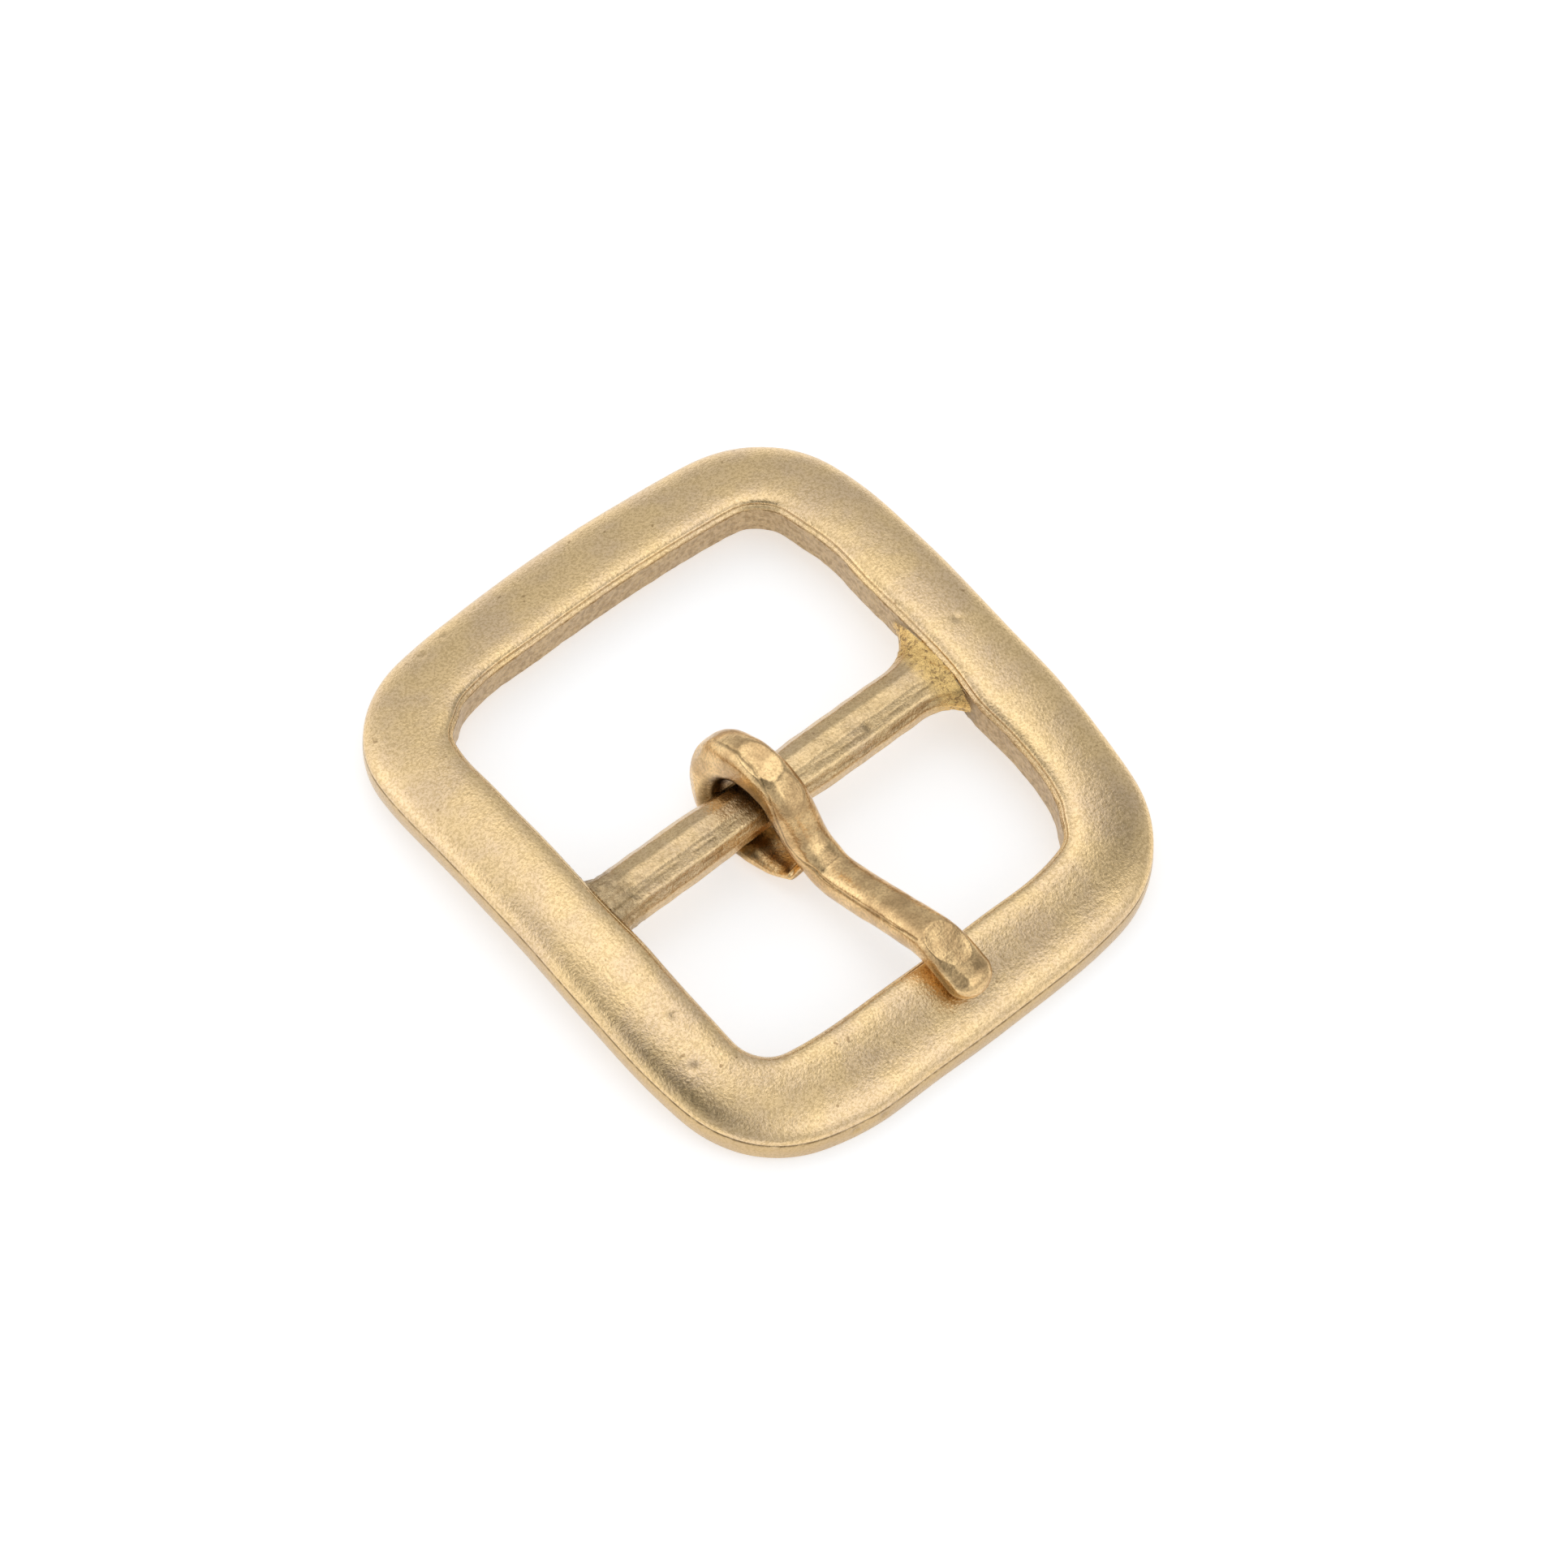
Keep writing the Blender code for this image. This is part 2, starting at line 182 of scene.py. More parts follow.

# The inside of the hook has painted shade, and the hook thins towards its cut end.
HOOK_SHADE_REACH = 4.8          # distance from the bar's centre line at which the painted shade ends
CUT_LENGTH = 22             # rings
CUT_THINNING = 0.5          # share of the depth left at the cut

# Filed and hammered flats on the prong. Each row is a share of the length from the hook's end, degrees round
# the section (270 is the upper side, 180 the side facing -X), how deep the flat is cut, and how many degrees
# it leans towards the tip.
PRONG_FLATS = ((0.335, 264.0, 0.26, 14.0), (0.395, 284.0, 0.14, -5.0), (0.37, 240.0, 0.08, 0.0),
               (0.895, 280.0, 0.20, -13.0), (0.94, 235.0, 0.10, 0.0), (0.20, 200.0, 0.12, 0.0),
               (0.26, 225.0, 0.12, 0.0))
FLAT_REACH = 30             # rings either way
FLAT_FADE = 4.6             # distance from its middle at which a flat has faded out
FLAT_SPAN = 3               # steps either way from which the skin's slope is read

# The fine crease along the prong's near side, as shares of the length and degrees round the section.
PRONG_CREASE = ((0.29, 247.0), (0.35, 243.0), (0.40, 205.0), (0.475, 190.0), (0.56, 207.0), (0.60, 222.0),
                (0.71, 212.0), (0.77, 212.0), (0.83, 222.0))
PRONG_CREASE_DEPTH = 0.07
PRONG_CREASE_WIDTH = 3.5    # degrees

# Mesh resolution.
SIDE_STEPS = 70
CORNER_STEPS = 56
OUTLINE_PASSES = 40         # of smoothing, over the outline's points
BAR_STEP = 0.22
BAR_SIDES = 96
HOOK_STEPS = 150
SHANK_STEPS = 200
TIP_STEPS = 24
PRONG_SIDES = 120
SWEEP_REACH = 7             # rings either way from which the prong's direction is read

# Colours, as linear light.
BRASS_GOLD = (0.88, 0.632, 0.328)
BRASS_TAN = (0.79, 0.577, 0.35)
BRASS_DEEP = (0.50, 0.34, 0.15)
BRASS_BROWN = (0.33, 0.215, 0.105)
BRASS_SKIN = (0.58, 0.42, 0.24)
BRASS_YELLOW = (0.86, 0.57, 0.21)
BRASS_RUST = (0.30, 0.18, 0.075)
BRASS_LINE = (0.20, 0.125, 0.05)
BRASS_UMBER = (0.27, 0.205, 0.125)
PRONG_GOLD = (0.87, 0.60, 0.295)
PRONG_BROWN = (0.60, 0.395, 0.19)
PAPER_WHITE = (0.75, 0.75, 0.75)

# The studio: soft light from all round, then each soft panel or dark gap as degrees round from +X, degrees
# up, how tight it is, and its strength.
STUDIO_FILL = 0.63
STUDIO_COLOR = (0.97, 1.0, 1.04)
STUDIO_PANELS = ((47.0, 77.0, 11.0, 1.14), (137.0, 25.0, 5.7, 1.02), (290.0, 40.0, 12.0, 1.11),
                 (181.0, 60.0, 10.0, -0.69), (331.0, 57.0, 13.0, -0.62))
FLOOR_REACH = 3000.0
FLOOR_DROP = 0.02           # so that the lands and the floor don't share a plane
FLOOR_GLOW = 0.5            # like lit paper
FLOOR_ROUGHNESS = 0.9

# The camera.
CAMERA_AZIMUTH = -42.7411   # degrees, with 0 looking along +Y
CAMERA_ELEVATION = 60.5658
CAMERA_ROLL = 3.2689
CAMERA_DISTANCE = 555.7
CAMERA_AIM = (1.823, -1.424)
CAMERA_LENS = 139.64
CAMERA_CLIP = (10.0, 10000.0)   # nearest and furthest

# Sockets of Blender's Mix node when it mixes colours.
MIX_SHARE, MIX_FIRST, MIX_SECOND, MIX_RESULT = 0, 6, 7, 2


def smooth_share(value):
    """0 below 0, 1 above 1, and a smooth ramp between."""
    value = np.clip(value, 0.0, 1.0)
    return value * value * (3.0 - 2.0 * value)


def quarter_turn(share):
    """Sine and cosine at a share of a quarter turn."""
    angle = math.pi / 2.0 * share
    return math.sin(angle), math.cos(angle)


# The ring's plan.

def circle_meeting(side_center, end_center, side_reach, end_reach):
    """Centre of the corner arc that touches a side arc and an end arc from inside."""
    across = end_center - side_center
    span = across.length
    along = (side_reach ** 2 - end_reach ** 2 + span ** 2) / (2.0 * span)
    off = math.sqrt(side_reach ** 2 - along ** 2)
    outward = Vector((across.y, -across.x)) / span
    if outward.x + outward.y < 0.0:
        outward = -outward
    return side_center + across * (along / span) + outward * off


def bowed_outline(half_x, half_y, side_bow, end_bow, corner):
    """A rounded rectangle whose sides are shallow arcs, as an array of points anticlockwise from +X."""
    side_center = Vector((half_x - side_bow, 0.0))
    end_center = Vector((0.0, half_y - end_bow))
    corner_center = circle_meeting(side_center, end_center, side_bow - corner, end_bow - corner)
    side_angle = math.atan2(*reversed(corner_center - side_center))
    end_angle = math.atan2(*reversed(corner_center - end_center))

    def arc(center, radius, start, stop, steps):
        angles = np.linspace(start, stop, steps, endpoint=False)
        return np.array(center) + radius * np.stack((np.cos(angles), np.sin(angles)), axis=1)

    quarter = np.concatenate((arc(side_center, side_bow, 0.0, side_angle, SIDE_STEPS),
                              arc(corner_center, corner, side_angle, end_angle, CORNER_STEPS),
                              arc(end_center, end_bow, end_angle, math.pi / 2.0, SIDE_STEPS)))
    half = np.concatenate((quarter, [(0.0, half_y)], quarter[:0:-1] * (-1.0, 1.0)))
    return np.concatenate((half, [(-half_x, 0.0)], half[:0:-1] * (1.0, -1.0)))


def eased(outline):
    """The closed outline with its changes of curvature spread out, as hand finishing leaves them."""
    for _ in range(OUTLINE_PASSES):
        outline = 0.5 * outline + 0.25 * (np.roll(outline, 1, axis=0) + np.roll(outline, -1, axis=0))
    return outline


def swollen(outline, swells):
    """The outline moved outward by each swell."""
    ahead = np.roll(outline, -1, axis=0) - np.roll(outline, 1, axis=0)
    ahead /= np.linalg.norm(ahead, axis=1, keepdims=True)
    outward = np.column_stack((ahead[:, 1], -ahead[:, 0]))
    around = np.degrees(np.arctan2(outline[:, 1], outline[:, 0]))
    move = np.zeros(len(outline))
    for place, spread, amount in swells:
        apart = (around - place + 180.0) % 360.0 - 180.0
        move += amount * np.exp(-(apart / spread) ** 2)
    return outline + outward * move[:, None]


def arch_drop(place_y):
    """How far the bent frame falls below its height at the bar."""
    return ARCH_RADIUS - np.sqrt(ARCH_RADIUS ** 2 - place_y ** 2)


ARCH_RISE = arch_drop(HALF_FRAME_Y) - LAND_DEPTH


# The band's section. Each function gives one run of it at 0 to 1 of the way along, as the share of the way
# across from the outside, how far in from there, and the height.

def outer_foot(t):
    sine, cosine = quarter_turn(t)
    return 0.0, FOOT_ROUND * (1.0 - sine), FOOT_ROUND * (1.0 - cosine)


def outer_strip(t):
    top = SEAM_HEIGHT - SEAM_WIDTH / 2.0
    return 0.0, -STRIP_BULGE * math.sin(math.pi * t), FOOT_ROUND + (top - FOOT_ROUND) * t


def seam(t):
    return 0.0, SEAM_DEPTH * math.sin(math.pi * t), SEAM_HEIGHT + SEAM_WIDTH * (t - 0.5)


def outer_dome(t):
    sine, cosine = quarter_turn(t)
    return CROWN_PLACE * (1.0 - cosine), 0.0, DOME_FOOT + (CROWN_HEIGHT - DOME_FOOT) * sine


def inner_dome(t):
    sine, cosine = quarter_turn(t)
    height = BEVEL_HEIGHT + (CROWN_HEIGHT - BEVEL_HEIGHT) * cosine
    return CROWN_PLACE + (1.0 - CROWN_PLACE) * sine, -BEVEL_WIDTH * sine, height


def upper_crease(t):
    dip = CREASE_DEPTH * math.sin(math.pi * t)
    return 1.0, -BEVEL_WIDTH + CREASE_WIDTH * t, BEVEL_HEIGHT - CREASE_FALL * t - dip


def bevel(t):
    width, fall = BEVEL_WIDTH - CREASE_WIDTH, BEVEL_WIDTH - CREASE_FALL
    return 1.0, -width * (1.0 - t), BEVEL_HEIGHT - CREASE_FALL - fall * t


def lower_crease(t):
    return 1.0, -CREASE_DEPTH * math.sin(math.pi * t), BEVEL_FOOT - LOWER_CREASE_FALL * t


def window_wall(t):
    return 1.0, 0.0, WALL_TOP + (FOOT_ROUND - WALL_TOP) * t


def inner_foot(t):
    sine, cosine = quarter_turn(t)
    return 1.0, -FOOT_ROUND * (1.0 - cosine), FOOT_ROUND * (1.0 - sine)


def underside(t):
    return 1.0 - t, -FOOT_ROUND + 2.0 * FOOT_ROUND * t, 0.0


# The runs in order, up the outer side first: its shape, how many points it has, and what it is.
SECTION_RUNS = ((outer_foot, 5, "strip"), (outer_strip, 9, "strip"), (seam, 5, "seam"),
                (outer_dome, 26, "dome"), (inner_dome, 14, "dome"), (upper_crease, 4, "crease"),
                (bevel, 4, "bevel"), (lower_crease, 4, "crease"), (window_wall, 14, "wall"),
                (inner_foot, 4, "wall"), (underside, 10, "under"))


def band_section():
    """The band's section as rows of share across, how far in, and height, and the mark of each row."""
    rows = [shape(step / count) for shape, count, _ in SECTION_RUNS for step in range(count)]
    marks = [mark for _, count, mark in SECTION_RUNS for _ in range(count)]
    return np.array(rows), marks


# Meshes.

def skin(rings, closed_path):
    """Vertices and quads over a list of equal point rings; an open path gets a cap at each end."""
    count, sides = len(rings), len(rings[0])
    index = np.arange(count * sides).reshape(count, sides)
    low = index if closed_path else index[:-1]
    high = np.roll(index, -1, axis=0) if closed_path else index[1:]
    quads = np.stack((low, np.roll(low, -1, axis=1), np.roll(high, -1, axis=1), high), axis=2)
    faces = quads.reshape(-1, 4).tolist()
    if not closed_path:
        faces += [index[0][::-1].tolist(), index[-1].tolist()]
    return np.concatenate(rings), faces


def coordinates(mesh):
    """The place of each vertex, in metres."""
    flat = np.zeros(len(mesh.vertices) * 3)
    mesh.vertices.foreach_get("co", flat)
    return flat.reshape(-1, 3)


def normals(mesh):
    """The outward direction at each vertex."""
    flat = np.zeros(len(mesh.vertices) * 3)
    mesh.vertices.foreach_get("normal", flat)
    return flat.reshape(-1, 3)


def signed_volume(mesh):
    """Six times the volume a closed mesh holds, negative where its faces point inwards."""
    mesh.calc_loop_triangles()
    triangles = np.zeros(len(mesh.loop_triangles) * 3, dtype=np.int64)
    mesh.loop_triangles.foreach_get("vertices", triangles)
    corners = coordinates(mesh)[triangles].reshape(-1, 3, 3)
    return float(np.einsum("ij,ij->", corners[:, 0], np.cross(corners[:, 1], corners[:, 2])))


def new_object(name, points, faces):
    """A smooth-shaded object from points in millimetres, with its normals facing out."""
    mesh = bpy.data.meshes.new(name)
    mesh.from_pydata(np.asarray(points) * MM, [], faces)
    item = bpy.data.objects.new(name, mesh)
    bpy.context.collection.objects.link(item)
    if signed_volume(mesh) < 0.0:
        mesh.flip_normals()
    mesh.shade_smooth()
    return item


def move_along_normals(item, amount):
    """Each vertex moved outward by its own amount, in millimetres."""
    mesh = item.data
    moved = coordinates(mesh) + normals(mesh) * (amount * MM)[:, None]
    mesh.vertices.foreach_set("co", moved.ravel())
    mesh.update()


def paint(item, name, values):
    """A value kept on each vertex, for a material to read."""
    attribute = item.data.attributes.new(name, "FLOAT", "POINT")
    attribute.data.foreach_set("value", np.asarray(values, dtype=np.float32))


def wander(points, size, seed):
    """Smooth noise from -1 to 1 at each point, with features of about that size."""
    shift = Vector([seed * step for step in SEED_STEP])
    return np.array([noise.noise(Vector(point) / size + shift) for point in points])


def waves(points, layers):
    """Layers of smooth noise added up."""
    return sum(depth * wander(points, size, seed) for depth, size, seed in layers)


# The casting.

def ring_rings():
    """Point rings round the band, and a mark for each point of the section."""
    outer = bowed_outline(HALF_FRAME_X, HALF_FRAME_Y, OUTER_SIDE_BOW, OUTER_END_BOW, OUTER_CORNER)
    inner = bowed_outline(HALF_WINDOW_X, HALF_WINDOW_Y, INNER_SIDE_BOW, INNER_END_BOW, INNER_CORNER)
    outer = eased(swollen(outer, OUTER_SWELLS))
    inner = eased(swollen(inner, INNER_SWELLS))
    rows, marks = band_section()
    share, set_in, height = rows.T
    inward = inner - outer
    inward /= np.linalg.norm(inward, axis=1, keepdims=True)
    rings = []
    for out_point, in_point, ahead in zip(outer, inner, inward):
        plan = out_point + np.outer(share, in_point - out_point) + np.outer(set_in, ahead)
        level = np.maximum(ARCH_RISE + height - arch_drop(plan[:, 1]), 0.0)
        rings.append(np.column_stack((plan, level)))
    return rings, marks


def bar_size(place_x):
    """Half-width, upper depth and lower depth of the bar at a place along it."""
    from_flat = abs(place_x - WAIST_PLACE) - WAIST_LENGTH * WAIST_FLAT / 2.0
    share = smooth_share(from_flat / (WAIST_LENGTH * WAIST_FLAT))
    width = WAIST_HALF_WIDTH + (BAR_HALF_WIDTH - WAIST_HALF_WIDTH) * share
    depth = WAIST_HALF_DEPTH + (BAR_HALF_DEPTH - WAIST_HALF_DEPTH) * share
    fillet = BAR_FILLETS[int(place_x > 0.0)]
    into_fillet = min(max(abs(place_x) - (HALF_WINDOW_X - fillet), 0.0), fillet)
    flare = fillet - math.sqrt(fillet ** 2 - into_fillet ** 2)
    rise = smooth_share(into_fillet / fillet)
    top_limit = BEVEL_FOOT - BAR_HEIGHT
    low_limit = BAR_HEIGHT - 2.0 * FOOT_ROUND
    return width + flare, depth + (top_limit - depth) * rise, depth + (low_limit - depth) * rise


def bar_rings():
    """Point rings along the bar, whose section is a polygon with many points on each flat."""
    reach = HALF_WINDOW_X + BAR_BURY * SIDE_BAND
    angles = 2.0 * math.pi * (np.arange(BAR_SIDES) + 0.5) / BAR_SIDES
    flat_angle = 2.0 * math.pi / BAR_FLATS
    from_flat_middle = (angles + flat_angle / 2.0) % flat_angle - flat_angle / 2.0
    radius = 1.0 / np.cos(from_flat_middle)
    rings = []
    for place in np.arange(-reach, reach, BAR_STEP):
        width, upper, lower = bar_size(place)
        depth = np.where(np.sin(angles) > 0.0, upper, lower)
        rings.append(np.column_stack((np.full(BAR_SIDES, place),
                                      BAR_CENTER[1] + width * radius * np.cos(angles),
                                      BAR_CENTER[2] + depth * radius * np.sin(angles))))
    return rings


def along_bar(points, depth, rate, seed):
    """Noise that changes only along the bar."""
    return depth * wander(points * (rate, 0.0, 0.0), 1.0, seed)


def bar_scratches(points):
    """How much of a draw line each point of the bar has, from 0 to 1."""
    degrees = np.degrees(np.arctan2(points[:, 2] - BAR_CENTER[2], points[:, 1] - BAR_CENTER[1]))
    drift = along_bar(points, *BAR_LINE_DRIFT)
    unbroken = smooth_share(BAR_LINE_WHOLENESS + along_bar(points, *BAR_LINE_BREAKS))
    total = np.zeros(len(points))
    for place, strength in BAR_LINES:
        total += strength * np.exp(-((degrees - place - drift) / BAR_LINE_WIDTH) ** 2)
    return total * unbroken


def pitted(points):
    """How much of a small casting pit each point has, from 0 to 1."""
    total = np.zeros(len(points))
    for center in PITS:
        apart = np.linalg.norm(points - center, axis=1) / PIT_RADIUS
        total = np.maximum(total, np.exp(-apart ** 4))
    return total


def shade_and_brown(points):
    """How much of the painted shade under the hook and the tip, and of the brown patch at the bar's left end,
    each point has, from 0 to 1.
    """
    total = np.zeros(len(points))
    for center, spread, strength in SHADE_AND_BROWN_PATCHES:
        apart = (points - center) / spread
        total = np.maximum(total, strength * np.exp(-(apart ** 2).sum(axis=1)))
    return total


def worm_tracks(points):
    """The ridges of the rough as-cast skin: 1 on a ridge, and lower away from it."""
    return 1.0 - sum(share * np.abs(wander(points, size, seed)) for share, size, seed in WORM_TRACKS)


def nearest_marks(item, marked_points, marks):
    """The mark of the marked point that lies nearest to each vertex."""
    tree = KDTree(len(marked_points))
    for index, point in enumerate(marked_points):
        tree.insert(point, index)
    tree.balance()
    return np.array([marks[tree.find(place)[1]] for place in coordinates(item.data)])


def rough_near_bar(points, mark):
    """How rough the skin is, on the bar's ends and on the window's wall beside them."""
    from_wall = HALF_WINDOW_X - np.abs(points[:, 0])
    from_bar = np.abs(points[:, 1] - BAR_CENTER[1])
    bar_end = smooth_share((ROUGH_ON_BAR - from_wall) / ROUGH_ON_BAR_FADE) * (mark == "bar")
    beside = smooth_share((ROUGH_ON_WALL - from_bar) / ROUGH_ON_WALL_FADE)
    wall = beside * (mark == "wall") * (from_wall > -WALL_REACH)
    return bar_end, wall


def finish_casting(ring, marked_points, marks):
    """Paints what each part of the casting's skin is, and then roughens it."""
    mark = nearest_marks(ring, marked_points, marks)
    points = coordinates(ring.data) / MM
    wall = (mark == "wall") | (mark == "bar")
    rough_bar, rough_wall = rough_near_bar(points, mark)
    rough = np.maximum(rough_bar, rough_wall)
    scratch = bar_scratches(points) * (mark == "bar")
    pits = pitted(points)
    paint(ring, "wall", mark == "wall")
    paint(ring, "bar", mark == "bar")
    paint(ring, "strip", (mark == "strip") | (mark == "under"))
    paint(ring, "rough", rough)
    paint(ring, "yellow", rough_bar * (points[:, 0] > 0.0))
    # Painted shade under the hook and the tip, the brown patch at the bar's left end, and the tarnished rough
    # wall beside the bar.
    paint(ring, "shade_and_tarnish", np.maximum(shade_and_brown(points), WALL_TARNISH * rough_wall))
    # The dark seam and draw lines, and painted shade in the creases and pits.
    paint(ring, "line", (mark == "seam") + CREASE_SHADE * (mark == "crease") + scratch + PIT_SHADE * pits)
    amount = waves(points, CASTING_WAVES)
    amount += wall * (1.0 - rough) * waves(points, WALL_WAVES)
    amount += (mark == "wall") * waves(points, WALL_GRIT)
    amount += WORM_DEPTH * rough * worm_tracks(points) - BAR_LINE_DEPTH * scratch - PIT_DEPTH * pits
    move_along_normals(ring, amount * (points[:, 2] > LAND_LEVEL))


def brass_frame():
    """The ring and its bar as one casting."""
    rings, section_marks = ring_rings()
    bar_points, bar_faces = skin(bar_rings(), closed_path=False)
    ring_points, ring_faces = skin(rings, closed_path=True)
    ring = new_object("brass_frame", ring_points, ring_faces)
    bar = new_object("bar_core", bar_points, bar_faces)
    union = ring.modifiers.new("bar", "BOOLEAN")
    union.operation = "UNION"
    union.solver = "EXACT"
    union.object = bar
    made = bpy.data.meshes.new_from_object(ring.evaluated_get(bpy.context.evaluated_depsgraph_get()))
    ring.modifiers.clear()
    ring.data = made
    bpy.data.objects.remove(bar)
    made.shade_smooth()
    marks = np.array(section_marks * len(rings) + ["bar"] * len(bar_points))
    finish_casting(ring, np.concatenate((ring_points, bar_points)) * MM, marks)
    return ring


# The prong.

def smooth_curve(points, share):
    """A point on the Catmull-Rom curve through the points, at 0 to 1 of its length in spans."""
    spans = len(points) - 3
    span = min(int(share * spans), spans - 1)
    t = share * spans - span
    a, b, c, d = (np.asarray(point, dtype=float) for point in points[span:span + 4])
    return 0.5 * (2.0 * b + (c - a) * t + (2.0 * a - 5.0 * b + 4.0 * c - d) * t * t
                  + (3.0 * b - a - 3.0 * c + d) * t ** 3)


def hook_point(degrees):
    """The hook's place in the bar's cross-plane, from the bar's centre, its lead and its half-sizes."""
    stops = [stop[0] for stop in HOOK_CURVE]
    spans = len(stops) - 1
    span = min(sum(degrees > stop for stop in stops[1:]), spans - 1)
    share = (span + (degrees - stops[span]) / (stops[span + 1] - stops[span])) / spans
    knots = [np.array(stop[1:]) for stop in HOOK_CURVE]
    knots = [2.0 * knots[0] - knots[1]] + knots + [2.0 * knots[-1] - knots[-2]]
    radius, lead, half_width, half_depth = smooth_curve(knots, share)
    angle = math.radians(degrees)
    place = np.array((radius * math.sin(angle), radius * math.cos(angle)))
    return place, lead, np.array((half_width, half_depth))


def hook_path():
    """The hook from its cut end to the neck."""
    first, last = HOOK_CURVE[-1][0], HOOK_CURVE[0][0]
    return [hook_point(first + (last - first) * step / HOOK_STEPS) for step in range(HOOK_STEPS)]


def shank_path():
    """The shank from the neck to where the tip starts to round off."""
    neck_degrees = HOOK_CURVE[0][0]
    neck, _, neck_size = hook_point(neck_degrees)
    controls = [hook_point(neck_degrees + HOOK_BLEND)[0], neck]
    for along, height in (PRONG_SHOULDER, PRONG_ELBOW, PRONG_DIP, PRONG_RISE, PRONG_CREST, PRONG_TIP):
        controls.append(np.array((along - BAR_CENTER[1], height - BAR_HEIGHT)))
    controls.append(2.0 * controls[-1] - controls[-2])
    path = []
    for step in range(SHANK_STEPS + 1):
        share = step / SHANK_STEPS
        grown = smooth_share(share / SHANK_FULL)
        widened = smooth_share((share - TIP_WIDENS[0]) / (TIP_WIDENS[1] - TIP_WIDENS[0]))
        size = neck_size + (np.array(SHANK_SIZE) - neck_size) * grown
        size = size + (np.array(TIP_SIZE) - size) * widened
        path.append((smooth_curve(controls, share), 0.0, size))
    return path


def tip_path(last, before):
    """The rounded tip, which carries on in the shank's last direction."""
    ahead = (last - before) / np.linalg.norm(last - before)
    path = []
    for step in range(1, TIP_STEPS):
        sine, cosine = quarter_turn(step / TIP_STEPS)
        path.append((last + ahead * TIP_ROUND * sine, 0.0, np.array(TIP_SIZE) * cosine))
    return path


def prong_path():
    """Centre line from the hook's end to the tip, as (place across the bar, lead, half-sizes)."""
    path = hook_path() + shank_path()
    return path + tip_path(path[-1][0], path[-2][0])


def cut_end(size, step):
    """The half-sizes near the hook's end, thinned towards the cut."""
    share = CUT_THINNING + (1.0 - CUT_THINNING) * smooth_share(step / CUT_LENGTH)
    return size * (1.0, share)


def prong_rings():
    """Rounded rectangles swept along the prong's centre line, as an array of rings of points."""
    path = prong_path()
    centers = np.array([BAR_CENTER + (PRONG_PLACE - PRONG_YAW * flat[0] + lead, flat[0], flat[1])
                        for flat, lead, _ in path])
    angles = 2.0 * math.pi * np.arange(PRONG_SIDES) / PRONG_SIDES
    section = np.stack((np.cos(angles), np.sin(angles)))
    section /= (np.abs(section) ** PRONG_SQUARENESS).sum(axis=0) ** (1.0 / PRONG_SQUARENESS)
    rings = []
    for place, (_, _, size) in enumerate(path):
        along = centers[min(place + SWEEP_REACH, len(path) - 1)] - centers[max(place - SWEEP_REACH, 0)]
        along /= np.linalg.norm(along)
        side = np.array((1.0, 0.0, 0.0)) - along * along[0]
        side /= np.linalg.norm(side)
        up = np.cross(side, along)
        across, deep = (cut_end(size, place) * PRONG_SLIMMING)[:, None] * section
        rings.append(centers[place] + np.outer(across, side) + np.outer(deep, up))
    return np.array(rings)


def flatten(rings, share, degrees, depth, lean):
    """Cuts one flat into the skin of the prong."""
    ring = round(share * (len(rings) - 1))
    spot = round(degrees / 360.0 * PRONG_SIDES)
    middle = rings[ring, spot].copy()
    across = rings[ring, spot + FLAT_SPAN] - rings[ring, spot - FLAT_SPAN]
    along = rings[ring + FLAT_SPAN, spot] - rings[ring - FLAT_SPAN, spot]
    out = np.cross(across, along)
    out /= np.linalg.norm(out)
    if np.dot(out, middle - rings[ring].mean(axis=0)) < 0.0:
        out = -out
    along /= np.linalg.norm(along)
    out = out * math.cos(math.radians(lean)) + along * math.sin(math.radians(lean))
    near = rings[max(ring - FLAT_REACH, 0):ring + FLAT_REACH]
    over = np.maximum((near - middle) @ out + depth, 0.0)
    over *= smooth_share(FLAT_FADE - np.linalg.norm(near - middle, axis=2))
    near -= over[:, :, None] * out


def prong_crease(count):
    """How much of the crease each point of the skin has, from 0 to 1."""
    shares = np.arange(count) / (count - 1)
    places = np.interp(shares, *zip(*PRONG_CREASE))
    inside = (shares > PRONG_CREASE[0][0]) & (shares < PRONG_CREASE[-1][0])
    degrees = 360.0 * np.arange(PRONG_SIDES) / PRONG_SIDES
    return (np.exp(-((degrees - places[:, None]) / PRONG_CREASE_WIDTH) ** 2) * inside[:, None]).ravel()


def brass_prong():
    """The tongue, with its flats and its crease."""
    rings = prong_rings()
    for flat in PRONG_FLATS:
        flatten(rings, *flat)
    crease = prong_crease(len(rings))
    tongue = new_object("brass_prong", *skin(list(rings), closed_path=False))
    points = coordinates(tongue.data) / MM
    move_along_normals(tongue, waves(points, PRONG_WAVES) - PRONG_CREASE_DEPTH * crease)
    from_bar = np.hypot(points[:, 1] - BAR_CENTER[1], points[:, 2] - BAR_CENTER[2])
    # Painted shade along the crease.
    paint(tongue, "line", crease)
    # Painted shade inside the hook, round the bar.
    paint(tongue, "shade_and_tarnish", smooth_share(HOOK_SHADE_REACH - from_bar))
    return tongue


# Nodes for the materials.

def material(name):
    """A new material, its node tree and its shader."""
    made = bpy.data.materials.new(name)
    made.use_nodes = True
    return made, made.node_tree, made.node_tree.nodes["Principled BSDF"]


def node(tree, kind, **settings):
    """A new node with its settings."""
    made = tree.nodes.new(kind)
    for name, value in settings.items():
        setattr(made, name, value)
    return made


def feed(tree, socket, value):
    """Sets an input to a number or a colour, or links it to another node's output."""
    if isinstance(value, bpy.types.NodeSocket):
        tree.links.new(value, socket)
    else:
        socket.default_value = value


